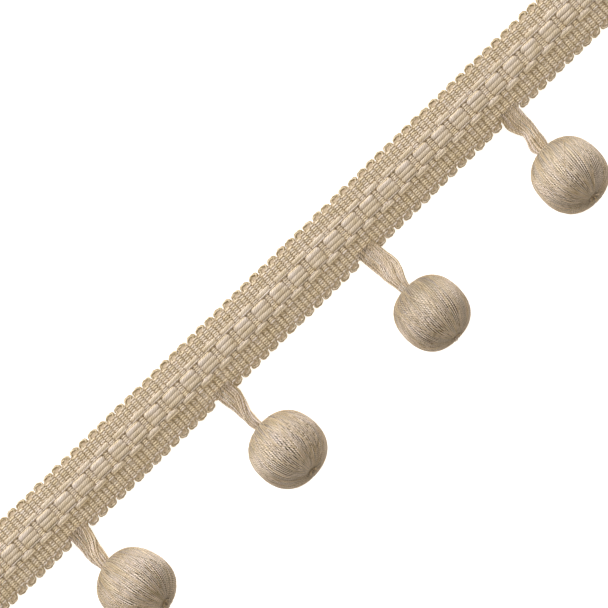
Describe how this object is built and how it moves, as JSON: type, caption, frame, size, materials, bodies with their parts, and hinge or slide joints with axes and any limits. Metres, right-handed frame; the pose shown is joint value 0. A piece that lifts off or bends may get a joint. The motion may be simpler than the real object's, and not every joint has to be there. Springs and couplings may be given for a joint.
{
  "type": "beaded fringe",
  "caption": "Cut length of woven cotton braid with looped edges and a raised basket-weave middle, hung with thread-wound beads on flat yarn skeins, for edging curtains, cushions and shades.",
  "frame": {"origin": "the middle of the braid's flat back, halfway along its length and its width", "axes": "+X along the braid, +Y across it towards its plain edge (the beads lie towards -Y), +Z out of its face, with the fringe lying face up"},
  "size_m": [0.2516, 0.0499, 0.0202],
  "materials": {
    "braid_cotton": "matt cotton cord and warp, warm beige, woven with looped edges and raised floats",
    "hanger_yarn": "soft two-ply cotton yarn, warm beige, slightly lustrous",
    "bead_thread": "fine mercerised thread wound from pole to pole, warm beige with a soft sheen"
  },
  "bodies": {
    "root": {"braid": "braid_cotton", "hanger_1": "hanger_yarn", "hanger_2": "hanger_yarn", "hanger_3": "hanger_yarn", "hanger_4": "hanger_yarn", "bead_1": "bead_thread", "bead_2": "bead_thread", "bead_3": "bead_thread", "bead_4": "bead_thread"}
  },
  "joints": []
}
